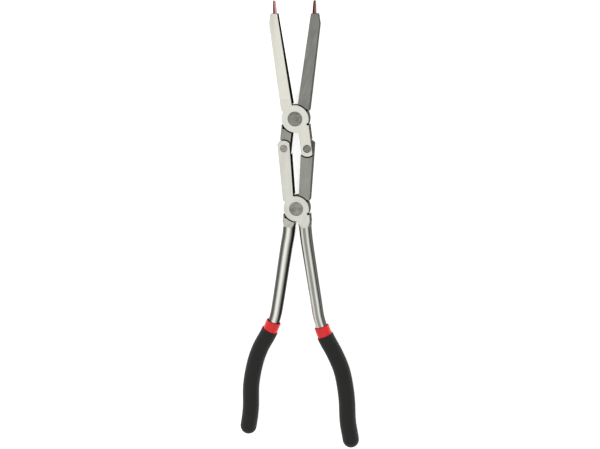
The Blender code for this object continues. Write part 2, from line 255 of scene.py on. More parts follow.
def lathe(name: str, profile: Sequence[Point], steps: int = 96, closed: bool = False) -> Mesh:
    """A solid turned about Z.

    Args:
        name: The mesh's name.
        profile: (radius, height) points, top to bottom.
        steps: Facets round the axis.
        closed: Whether the profile is a loop that stays clear of the axis.

    Returns:
        The closed mesh.
    """
    work = bmesh.new()
    verts = [work.verts.new((radius, 0.0, height)) for radius, height in profile]
    edges = [work.edges.new(pair) for pair in zip(verts, verts[1:])]
    if closed:
        edges.append(work.edges.new((verts[-1], verts[0])))
    bmesh.ops.spin(work, geom=verts + edges, axis=(0.0, 0.0, 1.0), cent=(0.0, 0.0, 0.0),
                   angle=2 * math.pi, steps=steps, use_duplicate=False)
    return mesh_of(work, name)


def sweep(name: str, route: Route, rings: Iterable[Ring], sides: int = 56) -> Mesh:
    """A round skin along a route, closed at both ends.

    Args:
        name: The mesh's name.
        route: The curve that it follows.
        rings: (distance, radius) of each ring; a radius of 0 is a pole.
        sides: Vertices in a ring.

    Returns:
        The closed mesh.
    """
    work = bmesh.new()
    loops: list[list[bmesh.types.BMVert]] = []
    for distance, radius in rings:
        middle, along = route.at(distance), route.heading(distance)
        across = Vector((-along.y, along.x, 0.0))
        centre = Vector((middle.x, middle.y, 0.0))
        loop = []
        for i in range(sides if radius > 0.0 else 1):
            turn = 2 * math.pi * i / sides
            spoke = across * math.cos(turn) + Vector((0.0, 0.0, math.sin(turn)))
            loop.append(work.verts.new(centre + radius * spoke))
        loops.append(loop)
    for first, second in zip(loops, loops[1:]):
        for i in range(sides):
            j = (i + 1) % sides
            corners = [first[i % len(first)], first[j % len(first)]]
            corners += [second[j % len(second)], second[i % len(second)]]
            work.faces.new(list(dict.fromkeys(corners)))
    for loop in (loops[0], loops[-1]):
        if len(loop) > 1:
            work.faces.new(loop)
    return mesh_of(work, name)


def put(name: str, data: ID) -> Object:
    """Adds an object to the scene.

    Args:
        name: The object's name.
        data: Its mesh, light or camera.

    Returns:
        The new object.
    """
    made = bpy.data.objects.new(name, data)
    bpy.context.scene.collection.objects.link(made)
    return made


class Blank:
    """A piece of stock with the tools that will work it.

    Args:
        name: The piece's name.
        mesh: The stock, in the member's own frame.
    """

    EDGE_STEPS = 3
    RIM_SHARE = 0.25

    def __init__(self, name: str, mesh: Mesh) -> None:
        """Lays the stock out with no work done."""
        self.stock = put(name, mesh)
        self.tools: list[Object] = []

    def work(self, how: Carve, meshes: Iterable[Mesh]) -> None:
        """Cuts or joins with closed meshes, in order.

        Args:
            how: Whether they cut or join.
            meshes: The tools' shapes.
        """
        for mesh in meshes:
            step = self.stock.modifiers.new(mesh.name, "BOOLEAN")
            step.operation = how.value
            step.solver = "EXACT"
            step.material_mode = "TRANSFER"
            step.object = put(mesh.name + "_tool", mesh)
            self.tools.append(step.object)

    def bake(self) -> Mesh:
        """Applies the work so far, and returns the mesh that it leaves.

        Returns:
            The stock's new mesh.
        """
        view = bpy.context.evaluated_depsgraph_get()
        mesh = bpy.data.meshes.new_from_object(self.stock.evaluated_get(view))
        mesh.name = self.stock.name
        self.stock.modifiers.clear()
        self.stock.data = mesh
        for tool in self.tools:
            bpy.data.objects.remove(tool, do_unlink=True)
        self.tools.clear()
        return mesh

    def ease_edges(self, width: float, is_fine: Callable[[Vector], bool]) -> None:
        """Rounds the sharp edges that the work has left.

        Args:
            width: How far the rounding reaches from an edge.
            is_fine: Says of an edge's middle whether it only gets a little.
        """
        mesh = self.bake()
        work = bmesh.new()
        work.from_mesh(mesh)
        bmesh.ops.dissolve_degenerate(work, dist=0.01 * MM, edges=work.edges)
        weight = work.edges.layers.float.new("bevel_weight_edge")
        for edge in work.edges:
            if edge.calc_face_angle(0.0) > SHARP:
                middle = (edge.verts[0].co + edge.verts[1].co) / 2
                edge[weight] = self.RIM_SHARE if is_fine(middle) else 1.0
        work.to_mesh(mesh)
        work.free()
        bevel = self.stock.modifiers.new("eased_edges", "BEVEL")
        bevel.width = width
        bevel.segments = self.EDGE_STEPS
        bevel.limit_method = "WEIGHT"
        bevel.use_clamp_overlap = False
        bevel.miter_outer = "MITER_ARC"

    def finish(self, layer: Layer) -> Object:
        """Bakes the work and puts the piece in its place in the tool.

        Args:
            layer: The member's layer, which says whether it is turned over.

        Returns:
            The finished object, at the origin, with its place in its mesh.
        """
        mesh = self.bake()
        mesh.transform(placement(layer))
        mesh.shade_smooth()
        mesh.set_sharp_from_angle(angle=SHARP)
        return self.stock


# ---- finishes -----------------------------------------------------------------------
def dial(node: Node, **values: object) -> None:
    """Sets a node's inputs, with an underscore for each space in their names."""
    for label, value in values.items():
        node.inputs[label.replace("_", " ")].default_value = value


class Recipe:
    """A node material under construction."""

    NOISE_RANGE = (0.3, 0.7)
    TINT_RANGE = (0.32, 0.68)

    def __init__(self, name: str, colour: Colour, metallic: float) -> None:
        """Starts from a plain shader.

        Args:
            name: The material's name.
            colour: The colour that other viewers show.
            metallic: How metallic it is.
        """
        self.material = bpy.data.materials.new(name)
        self.material.use_nodes = True
        self.material.diffuse_color = colour
        self.tree = self.material.node_tree
        self.shader = self.tree.nodes["Principled BSDF"]
        dial(self.shader, Base_Color=colour, Metallic=metallic)

    def node(self, kind: str, **settings: object) -> Node:
        """Adds a node and sets its properties.

        Args:
            kind: The node's type.
            settings: Its properties by name.

        Returns:
            The new node.
        """
        made = self.tree.nodes.new(kind)
        for label, value in settings.items():
            setattr(made, label, value)
        return made

    def join(self, source: NodeSocket, target: NodeSocket) -> None:
        """Links two sockets."""
        self.tree.links.new(source, target)

    def grain(self, angle: float, scale: tuple[float, float, float], detail: float) -> NodeSocket:
        """Noise stretched along a direction.

        Args:
            angle: The direction of the stretch, in radians from X towards Y.
            scale: Cycles per metre along it, across it and through the thickness.
            detail: Octaves.

        Returns:
            The noise's value socket.
        """
        place = self.node("ShaderNodeTexCoord")
        turn = self.node("ShaderNodeMapping", vector_type="TEXTURE")
        dial(turn, Rotation=(0.0, 0.0, angle))
        stretch = self.node("ShaderNodeVectorMath", operation="MULTIPLY")
        stretch.inputs[1].default_value = scale
        noise = self.node("ShaderNodeTexNoise")
        dial(noise, Scale=1.0, Detail=detail, Roughness=0.6)
        self.join(place.outputs["Object"], turn.inputs["Vector"])
        self.join(turn.outputs["Vector"], stretch.inputs[0])
        self.join(stretch.outputs["Vector"], noise.inputs["Vector"])
        return noise.outputs["Fac"]

    def roughen(self, source: NodeSocket, middle: float, less: float, more: float) -> None:
        """Varies the roughness by noise.

        Args:
            source: The noise.
            middle: Middle roughness.
            less: How far it falls below that.
            more: How far it rises above it.
        """
        remap = self.node("ShaderNodeMapRange")
        low, high = self.NOISE_RANGE
        dial(remap, From_Min=low, From_Max=high, To_Min=middle - less, To_Max=middle + more)
        self.join(source, remap.inputs["Value"])
        self.join(remap.outputs["Result"], self.shader.inputs["Roughness"])

    def colour_by(self, source: NodeSocket) -> None:
        """Takes the surface's colour from a socket."""
        self.join(source, self.shader.inputs["Base Color"])

    def tint(self, source: NodeSocket, dark: Colour, light: Colour) -> NodeSocket:
        """A colour between dark and light, by noise.

        Args:
            source: The noise.
            dark: The colour at its low end.
            light: The colour at its high end.

        Returns:
            The colour's socket.
        """
        ramp = self.node("ShaderNodeValToRGB")
        ends = zip(ramp.color_ramp.elements, self.TINT_RANGE, (dark, light))
        for element, position, colour in ends:
            element.position = position
            element.color = colour
        self.join(source, ramp.inputs["Fac"])
        return ramp.outputs["Color"]

    def facing(self, tones: Sequence[Tone]) -> NodeSocket:
        """A grey that changes with how far the surface faces the tool's right, used to paint highlight
        and shade by facing.

        Args:
            tones: The grey at each share of facing, from -1 for left to 1 for right.

        Returns:
            The grey's colour socket.
        """
        place = self.node("ShaderNodeTexCoord")
        parts = self.node("ShaderNodeSeparateXYZ")
        self.join(place.outputs["Normal"], parts.inputs["Vector"])
        return ramp_of(self.tree, parts.outputs["X"], tones)

    def multiply(self, one: NodeSocket, other: NodeSocket) -> NodeSocket:
        """The product of two colours.

        Args:
            one: The first colour.
            other: The second.

        Returns:
            The product's socket.
        """
        mix = self.node("ShaderNodeMix", data_type="RGBA", blend_type="MULTIPLY")
        dial(mix, Factor=1.0)
        self.join(one, mix.inputs[6])
        self.join(other, mix.inputs[7])
        return mix.outputs[2]

    def relief(self, source: NodeSocket, depth: float, strength: float) -> None:
        """Raises the surface by noise.

        Args:
            source: The noise.
            depth: The relief's height in metres.
            strength: How much of it shows.
        """
        bump = self.node("ShaderNodeBump")
        dial(bump, Distance=depth, Strength=strength)
        self.join(source, bump.inputs["Height"])
        self.join(bump.outputs["Normal"], self.shader.inputs["Normal"])


def ramp_of(tree: NodeTree, source: NodeSocket, tones: Sequence[Tone]) -> NodeSocket:
    """A grey looked up by a value between -1 and 1.

    Args:
        tree: The node tree to add to.
        source: The value.
        tones: (value, grey) pairs in order.

    Returns:
        The grey's colour socket.
    """
    remap = tree.nodes.new("ShaderNodeMapRange")
    dial(remap, From_Min=-1.0)
    ramp = tree.nodes.new("ShaderNodeValToRGB")
    elements = ramp.color_ramp.elements
    while len(elements) < len(tones):
        elements.new(0.5)
    for element, (value, grey) in zip(elements, tones):
        element.position = (value + 1) / 2
        element.color = (grey, grey, grey, 1.0)
    tree.links.new(source, remap.inputs["Value"])
    tree.links.new(remap.outputs["Result"], ramp.inputs["Fac"])
    return ramp.outputs["Color"]


def shade(colour: Sequence[float], factor: float) -> Colour:
    """A colour made darker or lighter."""
    return (colour[0] * factor, colour[1] * factor, colour[2] * factor, 1.0)


@dataclass(frozen=True)
class Finish:
    """What every finish has.

    Attributes:
        name: The finish's name.
        colour: Its middle colour.
    """

    METALLIC = 1.0

    name: str
    colour: Rgb

    def lay(self, recipe: Recipe) -> None:
        """Adds the finish's own nodes."""
        raise NotImplementedError

    def material(self) -> Material:
        """Builds the material.

        Returns:
            The finished material.
        """
        recipe = Recipe(self.name, shade(self.colour, 1.0), self.METALLIC)
        self.lay(recipe)
        return recipe.material


@dataclass(frozen=True)
class GroundSteel(Finish):
    """A satin face, surface-ground along its member.

    Attributes:
        heading: The grinding lines' direction, in radians from X towards Y.
        roughness: Middle roughness.
        contrast: How far the lines and clouds vary the colour.
    """

    heading: float
    roughness: float = 0.36
    contrast: float = 0.07

    def lay(self, recipe: Recipe) -> None:
        """Adds the finish's own nodes.

        Args:
            recipe: The material under construction.
        """
        dial(recipe.shader, Anisotropic=0.35)
        lines = recipe.grain(self.heading, (60.0, 2600.0, 900.0), 5.0)
        clouds = recipe.grain(self.heading, (90.0, 230.0, 200.0), 3.0)
        mix = recipe.node("ShaderNodeMix", data_type="FLOAT")
        dial(mix, Factor=0.5)
        recipe.join(lines, mix.inputs[2])
        recipe.join(clouds, mix.inputs[3])
        value = mix.outputs[0]
        dark, light = 1.0 - self.contrast, 1.0 + 0.6 * self.contrast
        recipe.colour_by(recipe.tint(value, shade(self.colour, dark), shade(self.colour, light)))
        recipe.roughen(lines, self.roughness, 0.05, 0.07)
        recipe.relief(lines, 0.02 * MM, 0.35)


@dataclass(frozen=True)
class PolishedSteel(Finish):
    """The round rods: bright, with fine lines along them and painted reflections, highlight bands and
    dark flanks, by which way each side faces.

    Attributes:
        painted_reflections: Painted reflection tones at each side of the rod: highlight bands and dark
            flanks.
        roughness: Middle roughness.
    """

    painted_reflections: tuple[Tone, ...]
    roughness: float = 0.13

    def lay(self, recipe: Recipe) -> None:
        """Adds the finish's own nodes.

        Args:
            recipe: The material under construction.
        """
        lines = recipe.grain(math.pi / 2, (14.0, 900.0, 900.0), 4.0)
        clouds = recipe.grain(math.pi / 2, (45.0, 220.0, 220.0), 3.0)
        metal = recipe.tint(clouds, shade(self.colour, 0.93), shade(self.colour, 1.03))
        # Painted reflections: the metal is multiplied by a tone that follows which way the surface
        # faces.
        recipe.colour_by(recipe.multiply(metal, recipe.facing(self.painted_reflections)))
        recipe.roughen(lines, self.roughness, 0.03, 0.06)
        recipe.relief(lines, 0.012 * MM, 0.3)


@dataclass(frozen=True)
class ForgedEdge(Finish):
    """The side walls of the forgings: duller than the ground faces, and darkened with painted shade.

    Attributes:
        painted_reflection_tone: Tint that dims what it mirrors at a low angle: painted shade in its
            reflections.
        roughness: Middle roughness.
    """

    painted_reflection_tone: float
    roughness: float = 0.48

    def lay(self, recipe: Recipe) -> None:
        """Adds the finish's own nodes.

        Args:
            recipe: The material under construction.
        """
        # Painted shade: the tint dims the wall's reflections.
        dial(recipe.shader, Specular_Tint=shade((1.0, 1.0, 0.95), self.painted_reflection_tone))
        scale = recipe.grain(0.0, (420.0, 420.0, 420.0), 5.0)
        recipe.colour_by(recipe.tint(scale, shade(self.colour, 0.7), shade(self.colour, 1.3)))
        recipe.roughen(scale, self.roughness, 0.08, 0.12)
        recipe.relief(scale, 0.05 * MM, 0.4)


@dataclass(frozen=True)
class RivetSteel(Finish):
    """Rivet ends, ground flush: darker metal with a mottled, smeared look.

    Attributes:
        roughness: Middle roughness.
    """

    roughness: float = 0.42

    def lay(self, recipe: Recipe) -> None:
        """Adds the finish's own nodes.

        Args:
            recipe: The material under construction.
        """
        smears = recipe.grain(0.5, (260.0, 620.0, 400.0), 5.0)
        lines = recipe.grain(0.5, (150.0, 2400.0, 900.0), 3.0)
        recipe.colour_by(recipe.tint(smears, shade(self.colour, 0.6), shade(self.colour, 1.3)))
        recipe.roughen(smears, self.roughness, 0.1, 0.12)
        recipe.relief(lines, 0.02 * MM, 0.4)


@dataclass(frozen=True)
class DippedVinyl(Finish):
    """Soft vinyl from a dip tank, with a faintly uneven skin.

    Attributes:
        roughness: Middle roughness.
        gloss: Specular level.
        pebble: Depth of the fine texture, in metres.
    """

    METALLIC = 0.0

    roughness: float
    gloss: float
    pebble: float

    def lay(self, recipe: Recipe) -> None:
        """Adds the finish's own nodes.

        Args:
            recipe: The material under construction.
        """
        dial(recipe.shader, Specular_IOR_Level=self.gloss)
        waves = recipe.grain(math.pi / 2, (70.0, 120.0, 120.0), 3.0)
        skin = recipe.grain(0.0, (1500.0, 1500.0, 1500.0), 3.0)
        recipe.colour_by(recipe.tint(waves, shade(self.colour, 0.86), shade(self.colour, 1.12)))
        recipe.roughen(waves, self.roughness, 0.05, 0.06)
        recipe.relief(skin, self.pebble, 0.5)


@dataclass(frozen=True)
class RedLacquer(Finish):
    """Thin dark red lacquer over the steel tips, with a painted highlight along one side.

    Attributes:
        highlight_share: How much of the painted highlight's colour the lit side shows.
        dark: The whole film's colour.
        pale: The painted highlight's colour.
        painted_highlight: How much painted highlight it shows at each share of facing from left to
            right.
    """

    METALLIC = 0.8

    highlight_share: float
    dark: Colour = (0.075, 0.003, 0.006, 1.0)
    pale: Colour = (1.0, 0.55, 0.53, 1.0)
    painted_highlight: tuple[Tone, ...] = ((-0.95, 0.5), (-0.75, 0.1), (-0.3, 0.0),
                              (0.05, 0.1), (0.3, 1.0), (0.9, 0.7))

    def lay(self, recipe: Recipe) -> None:
        """Adds the finish's own nodes.

        Args:
            recipe: The material under construction.
        """
        dial(recipe.shader, Specular_Tint=(0.35, 0.08, 0.09, 1.0))
        film = recipe.grain(math.pi / 2, (350.0, 900.0, 900.0), 3.0)
        mix = recipe.node("ShaderNodeMix", data_type="RGBA")
        mix.inputs[6].default_value = self.dark
        mix.inputs[7].default_value = self.pale
        # Painted highlight: the film turns pale by which way the surface faces.
        highlight_tones = tuple((side, share * self.highlight_share) for side, share in self.painted_highlight)
        recipe.join(recipe.facing(highlight_tones), mix.inputs["Factor"])
        uneven = recipe.tint(film, (0.8, 0.8, 0.8, 1.0), (1.0, 1.0, 1.0, 1.0))
        recipe.colour_by(recipe.multiply(mix.outputs[2], uneven))
        recipe.roughen(film, 0.3, 0.06, 0.06)
        recipe.relief(film, 0.02 * MM, 0.3)


# ---- rivets and tips ----------------------------------------------------------------
@dataclass(frozen=True)
class Rivet:
    """A rivet with a flush head at each face.

    Attributes:
        name: The piece's and its node's name.
        head_r: Head radius.
        head_height: Head height.
        shank_r: Shank radius.
        sink: How far the heads lie below the faces.
        ease: Chamfer round the heads.
        crown: How far a head's edge lies below its middle.
    """

    name: str
    head_r: float
    head_height: float
    shank_r: float
    sink: float = 0.05 * MM
    ease: float = 0.14 * MM
    crown: float = 0.03 * MM

    def make(self, centre: Point, layer: Layer, steel: Material) -> Object:
        """Turns the rivet.

        Args:
            centre: Its axis, in the member's own frame.
            layer: The layer of the member that holds it.
            steel: Its finish.

        Returns:
            The finished piece.
        """
        top, edge = HALF - self.sink, self.head_r
        under, rim = top - self.head_height, top - self.crown
        upper = [(0.0, top), (edge * 0.55, top), (edge - 2 * self.ease, rim)]
        upper += [(edge - 0.6 * self.ease, rim - 0.25 * self.ease)]
        upper += [(edge, rim - self.ease), (edge, under), (self.shank_r, under)]
        profile = upper + [(radius, -height) for radius, height in reversed(upper)]
        mesh = lathe(self.name, profile)
        mesh.transform(shift(centre))
        mesh.materials.append(steel)
        return Blank(self.name, mesh).finish(layer)

    def seat(self, centre: Point, gap: float) -> Mesh:
        """The tool that cuts the rivet's hole and the seats of its heads.

        Args:
            centre: The hole's axis.
            gap: Clearance all round.

        Returns:
            A closed mesh.
        """
        high, wide = HALF + REACH, self.head_r + gap
        under = HALF - self.sink - self.head_height - gap
        upper = [(0.0, high), (wide, high), (wide, under), (self.shank_r + gap, under)]
        lower = [(radius, -height) for radius, height in reversed(upper)]
        mesh = lathe(self.name + "_seat", upper + lower)
        mesh.transform(shift(centre))
        return mesh


UPPER_RIVET = Rivet("upper_pivot_rivet", 5.5 * MM, 1.6 * MM, 3.5 * MM)
LOWER_RIVET = Rivet("lower_pivot_rivet", 5.3 * MM, 1.6 * MM, 3.5 * MM)
LEFT_RIVET = Rivet("left_link_rivet", 2.75 * MM, 1.2 * MM, 1.6 * MM, ease=0.1 * MM)
RIGHT_RIVET = Rivet("right_link_rivet", 2.75 * MM, 1.2 * MM, 1.6 * MM, ease=0.1 * MM)
SNUG = 0.08 * MM
LOOSE = 0.3 * MM


@dataclass(frozen=True)
class RingTip:
    """A tapered tip set in the end of a jaw.

    Attributes:
        foot: Where its axis leaves the jaw, in the jaw's own frame.
        length: How far it stands out.
        foot_r: Radius at the jaw.
        end_r: Radius at the flat end.
        splay: Its lean outward, in radians.
        shank_r: Radius of the shank inside the jaw.
        shank_length: The shank's length.
        ease: Rounding of the flat end.
        belly: How far its side bulges past a straight cone.
        seat: How far above the jaw the cone starts.
        drill_gap: Clearance round the shank.
    """

    foot: Point = (-14.9 * MM, 147.3 * MM)
    length: float = 9.6 * MM
    foot_r: float = 1.5 * MM
    end_r: float = 0.95 * MM
    splay: float = math.radians(2.0)
    shank_r: float = 1.35 * MM
    shank_length: float = 8.0 * MM
    ease: float = 0.18 * MM
    belly: float = 0.10 * MM
    seat: float = 0.15 * MM
    drill_gap: float = 0.15 * MM

    @property
    def stand(self) -> Matrix:
        """The transform from an upright tip to its place.

        Returns:
            The transform.
        """
        along = Vector((-math.sin(self.splay), math.cos(self.splay), 0.0))
        turn = along.to_track_quat("Z", "X").to_matrix().to_4x4()
        return shift(self.foot) @ turn

    def make(self, name: str, layer: Layer, lacquer: Material) -> Object:
        """Turns the tip, slightly barrelled, with an eased flat end.

        Args:
            name: The piece's name.
            layer: The jaw's layer.
            lacquer: Its finish.

        Returns:
            The finished piece.
        """
        shoulder = self.length - self.ease
        profile = [(0.0, self.length), (self.end_r - self.ease, self.length), (self.end_r, shoulder)]
        steps = 8
        for share in (i / steps for i in range(1, steps + 1)):
            bulge = self.belly * math.sin(math.pi * share)
            radius = self.end_r + (self.foot_r - self.end_r) * share + bulge
            height = shoulder * (1 - share) + self.seat * share
            profile.append((min(radius, self.foot_r), height))
        profile += [(self.shank_r, self.seat), (self.shank_r, -self.shank_length)]
        profile += [(0.0, -self.shank_length)]
        mesh = lathe(name, profile, steps=48)
        mesh.transform(self.stand)
        mesh.materials.append(lacquer)
        return Blank(name, mesh).finish(layer)

    def socket(self) -> Mesh:
        """The tool that drills the tip's hole.

        Returns:
            A closed mesh.
        """
        radius, depth = self.shank_r + self.drill_gap, self.shank_length + 0.5 * MM
        profile = [(0.0, depth), (radius, depth), (radius, -depth), (0.0, -depth)]
        mesh = lathe("tip_socket", profile, steps=48)
        mesh.transform(self.stand)
        return mesh


# ---- forgings -----------------------------------------------------------------------
@dataclass
class Forging:
    """What jaws and levers share: half laps, relief notches and eased edges.

    Attributes:
        layer: Whether this is the front member or its rear mate.
        face: Finish of the ground faces.
        leg_face: Finish of the ground face on the other side of the pivot.
        outer_wall: Finish of the side walls that face away from the tool's middle, and of the lap
            faces; dark with painted shade.
        inner_wall: Finish of those that face it, and of the notches; darker with painted shade.
        lap_gap: Space between the two halves of a lap.
        shoulder_gap: Space round a boss, up to the mate's shoulder.
        tongue_r: Radius of the round end at a link rivet.
        tongue_shoulder_r: Radius cleared for the mate's round end.
        notch_r: Radius of the relief notches.
        flat: A face that points up or down by more than this is a ground one.
        corner_bearing: Direction of the boss's own corner from its centre, in degrees.
        shoulder_bearings: Directions of the two ends of the lap's shoulder.
        edge: Rounding of the edges.
    """

    layer: Layer
    face: Material
    leg_face: Material
    outer_wall: Material
    inner_wall: Material
    lap_gap: float = 0.3 * MM
    shoulder_gap: float = 0.8 * MM
    tongue_r: float = 6.1 * MM
    tongue_shoulder_r: float = 6.9 * MM
    notch_r: float = 0.8 * MM
    flat: float = 0.5
    corner_bearing: float = -22.0
    shoulder_bearings: tuple[float, float] = (144.0, -38.0)
    edge: float = 0.35 * MM

    def lap(self, label: str, pivot: Point, radius: float) -> Mesh:
        """The tool that clears the rear half of the forging round a pivot."""
        return disc(label, pivot, radius, -HALF - REACH, self.lap_gap / 2)

    def notches(self, label: str, pivot: Point, radius: float) -> list[Mesh]:
        """The tools that cut the relief notches beside a pivot.

        Args:
            label: The start of their names.
            pivot: The pivot's axis.
            radius: The boss's radius.

        Returns:
            The closed meshes.
        """
        deep = HALF + REACH
        spots = [(radius, self.corner_bearing, deep)]
        wide = radius + self.shoulder_gap
        spots += [(wide, angle, self.lap_gap) for angle in self.shoulder_bearings]
        made = []
        for number, (distance, angle, high) in enumerate(spots):
            turn = math.radians(angle)
            spot = (pivot[0] + distance * math.cos(turn), pivot[1] + distance * math.sin(turn))
            outline = arc(spot, self.notch_r, 0.0, 360.0, 18.0)[:-1]
            tool = slab(f"{label}_{number}", outline, -deep, high)
            # The notches take the darkest wall steel: painted shade in them.
            tool.materials.append(self.inner_wall)
            made.append(tool)
        return made

    def steel_of(self, polygon: MeshPolygon, had: Material, is_leg: bool) -> Material:
        """The steel of a forged or ground face.

        Args:
            polygon: The face.
            had: The finish that its tool has left, with painted shade in the notches.
            is_leg: Whether it lies on the leg's side of the pivot.

        Returns:
            Its finish.
        """
        if had == self.inner_wall:
            return had
        if abs(polygon.normal.z) >= self.flat:
            # Lap faces at the middle plane take the dark wall steel, which darkens the gaps and
            # notches between the halves with painted shade.
            if abs(polygon.center.z - LOWER.z) < HALF / 2:
                return self.outer_wall
            return self.leg_face if is_leg else self.face
        # Walls that face the tool's middle take the darker steel: painted shade in the gaps.
        faces_out = (polygon.center.x - LOWER.x) * polygon.normal.x > 0.0
        return self.outer_wall if faces_out else self.inner_wall

    def rims(self) -> list[tuple[Point, float]]:
        """The holes' axes, each with the radius round it that keeps crisp edges."""
        raise NotImplementedError

    def outline(self) -> list[Point]:
        """The forging from the front, anticlockwise."""
        raise NotImplementedError

    def blank(self, name: str) -> Blank:
        """Cuts the stock for the forging.

        Args:
            name: The piece's name.

        Returns:
            The blank.
        """
        stock = slab(name, self.outline(), -HALF, HALF)
        stock.materials.append(self.face)
        return Blank(name, stock)

    def is_rim(self, spot: Vector) -> bool:
        """Whether an edge belongs to the rim of a hole."""
        return any((spot.xy - Vector(centre)).length < radius for centre, radius in self.rims())

    def dress(self, piece: Object, steel_of: SteelChoice) -> None:
        """Gives each face its finish.

        Args:
            piece: The finished forging.
            steel_of: Says which finish a polygon takes, given the one that it has.
        """
        had = list(piece.data.materials)
        chosen = [steel_of(polygon, had[polygon.material_index]) for polygon in piece.data.polygons]
        palette = list(dict.fromkeys(chosen))
        piece.data.materials.clear()
        for steel in palette:
            piece.data.materials.append(steel)
        for polygon, steel in zip(piece.data.polygons, chosen):
            polygon.material_index = palette.index(steel)


@dataclass
class Jaw(Forging):
    """A jaw: tapered arm, half-lap boss and a leg to its link rivet."""

    boss_r: float = 10.4 * MM
    top_y: float = 147.3 * MM
    top_inner: float = 12.66 * MM
    top_outer: float = 18.04 * MM
    corner: Point = (19.1 * MM, 139.8 * MM)
    heel: Point = (10.6 * MM, 75.5 * MM)
    heel_bearing: float = 152.0
    arm_foot_x: float = -2.2 * MM
    leg_top: Point = (2.7 * MM, 59.0 * MM)
    end_thickness: float = 6.6 * MM
    taper_y: float = 84.0 * MM
    leg_shoulder: Point = (10.3 * MM, 64.9 * MM)
    leg_inner_x: float = 5.0 * MM
    leg_outer_x: float = 13.25 * MM
    tip: RingTip = field(default_factory=RingTip)

    def outline(self) -> list[Point]:
        """The forging from the front, anticlockwise: arm up to the left, leg down to the right.

        Returns:
            The outline's points.
        """
        boss_top = (self.arm_foot_x, BOSS[1] + self.boss_r)
        arm_foot = meet((-self.top_inner, self.top_y), boss_top, BOSS, self.boss_r)
        leg_in = (self.leg_inner_x, LINK[1])
        leg_out = (self.leg_outer_x, LINK[1])
        leg_top = meet(leg_in, self.leg_top, BOSS, self.boss_r)
        foot_in = meet(leg_top, (leg_in[0], leg_in[1] - self.tongue_r), LINK, self.tongue_r)
        foot_end = (leg_out[0], leg_out[1] - self.tongue_r)
        foot_out = meet(self.leg_shoulder, foot_end, LINK, self.tongue_r)
        outline = [(-self.top_inner, self.top_y), (-self.top_outer, self.top_y)]
        outline += [(-self.corner[0], self.corner[1]), (-self.heel[0], self.heel[1])]
        outline += arc(BOSS, self.boss_r, self.heel_bearing, 360.0 + bearing(BOSS, leg_top))
        outline += arc(LINK, self.tongue_r, bearing(LINK, foot_in), bearing(LINK, foot_out))
        outline += [self.leg_shoulder]
        outline += arc(BOSS, self.boss_r, self.corner_bearing, bearing(BOSS, arm_foot))
        return outline

    def rims(self) -> list[tuple[Point, float]]:
        """The pivot's, the link's and the tip's holes.

        Returns:
            (axis, radius that keeps crisp edges) pairs.
        """
        return [(BOSS, UPPER_RIVET.head_r + 2 * LOOSE),
                (LINK, RIGHT_RIVET.head_r + 2 * LOOSE),
                (self.tip.foot, self.tip.foot_r + LOOSE)]

    def planes(self) -> list[Mesh]:
        """The tools that taper the arm's two faces towards the tip.

        Returns:
            Two closed meshes.
        """
        length = self.top_y - self.taper_y
        slope = math.atan2(HALF - self.end_thickness / 2, length)
        made = []
        for side in (1.0, -1.0):
            block = [(-REACH, 0.0), (REACH, 0.0), (REACH, length + REACH), (-REACH, length + REACH)]
            low, high = (0.0, REACH) if side > 0 else (-REACH, 0.0)
            mesh = slab(f"taper_{int(side > 0)}", block, low, high)
            tilt = Matrix.Rotation(-side * slope, 4, "X")
            mesh.transform(Matrix.Translation((0.0, self.taper_y, side * HALF)) @ tilt)
            made.append(mesh)
        return made

    def make(self) -> Object:
        """Forges the jaw.

        Returns:
            The finished piece.
        """
        blank = self.blank(self.layer.value + "_jaw")
        link_gap = LOOSE if self.layer is Layer.FRONT else SNUG
        cuts = [*self.planes(), self.lap("boss_lap", BOSS, self.boss_r + self.shoulder_gap)]
        cuts += [self.lap("foot_lap", LINK, self.tongue_shoulder_r)]
        cuts += self.notches("notch", BOSS, self.boss_r)
        cuts += [UPPER_RIVET.seat(BOSS, SNUG), RIGHT_RIVET.seat(LINK, link_gap), self.tip.socket()]
        blank.work(Carve.CUT, cuts)
        blank.ease_edges(self.edge, self.is_rim)
        piece = blank.finish(self.layer)
        leg_y = LOWER.y + UPPER_Y - self.boss_r / 2
        self.dress(piece, lambda polygon, had: self.steel_of(polygon, had, polygon.center.y < leg_y))
        return piece


